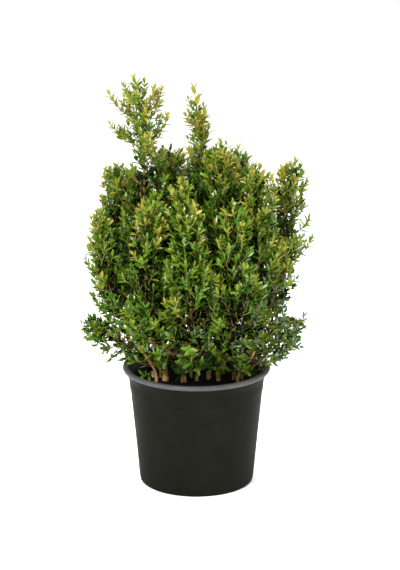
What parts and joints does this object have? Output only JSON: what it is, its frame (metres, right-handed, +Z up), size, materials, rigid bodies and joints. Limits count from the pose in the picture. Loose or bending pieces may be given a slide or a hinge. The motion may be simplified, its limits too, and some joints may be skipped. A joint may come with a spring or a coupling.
{
  "type": "potted boxwood shrub",
  "caption": "Upright small-leaved evergreen shrub with many slender stems and tall leafy shoots, growing in a round tapered nursery pot with a rolled rim.",
  "frame": {"origin": "centre of the pot's flat underside, where the pot stands", "axes": "+Z up along the plant, +X to the right of the front view and +Y to its back"},
  "size_m": [0.4399, 0.4036, 0.788],
  "materials": {
    "pot_plastic": "satin charcoal injection-moulded plastic",
    "compost": "dark moist peat compost with fine bark crumbs",
    "bark": "thin tan bark with fine lengthwise cracks",
    "leaves": "small leathery evergreen leaves, mid green to yellow-green at the shoot tips"
  },
  "bodies": {
    "root": {"bough_back_centre": "bark", "bough_back_right": "bark", "bough_centre_right": "bark", "bough_centre_spire": "bark", "bough_front_centre": "bark", "bough_front_left": "bark", "bough_front_right": "bark", "bough_inner_left": "bark", "bough_left_shoulder": "bark", "bough_left_spire": "bark", "bough_right_front": "bark", "bough_right_shoulder": "bark", "compost": "compost", "foliage_back_centre": "leaves", "foliage_back_left": "leaves", "foliage_back_right": "leaves", "foliage_centre_right": "leaves", "foliage_centre_spire": "leaves", "foliage_front_centre": "leaves", "foliage_front_left": "leaves", "foliage_front_right": "leaves", "foliage_inner_left": "leaves", "foliage_left_edge": "leaves", "foliage_left_shoulder": "leaves", "foliage_left_spire": "leaves", "foliage_low_left": "leaves", "foliage_low_right": "leaves", "foliage_right_cluster": "leaves", "foliage_right_edge": "leaves", "foliage_right_front": "leaves", "foliage_right_shoulder": "leaves", "pot": "pot_plastic", "stem_back": "bark", "stem_back_left": "bark", "stem_back_right": "bark", "stem_centre": "bark", "stem_left": "bark", "stem_left_low": "bark", "stem_left_side": "bark", "stem_right": "bark", "stem_right_low": "bark", "stem_right_outer": "bark", "stem_right_side": "bark", "stem_slim_fork": "bark", "stub_left": "bark", "stub_right": "bark"}
  },
  "joints": []
}
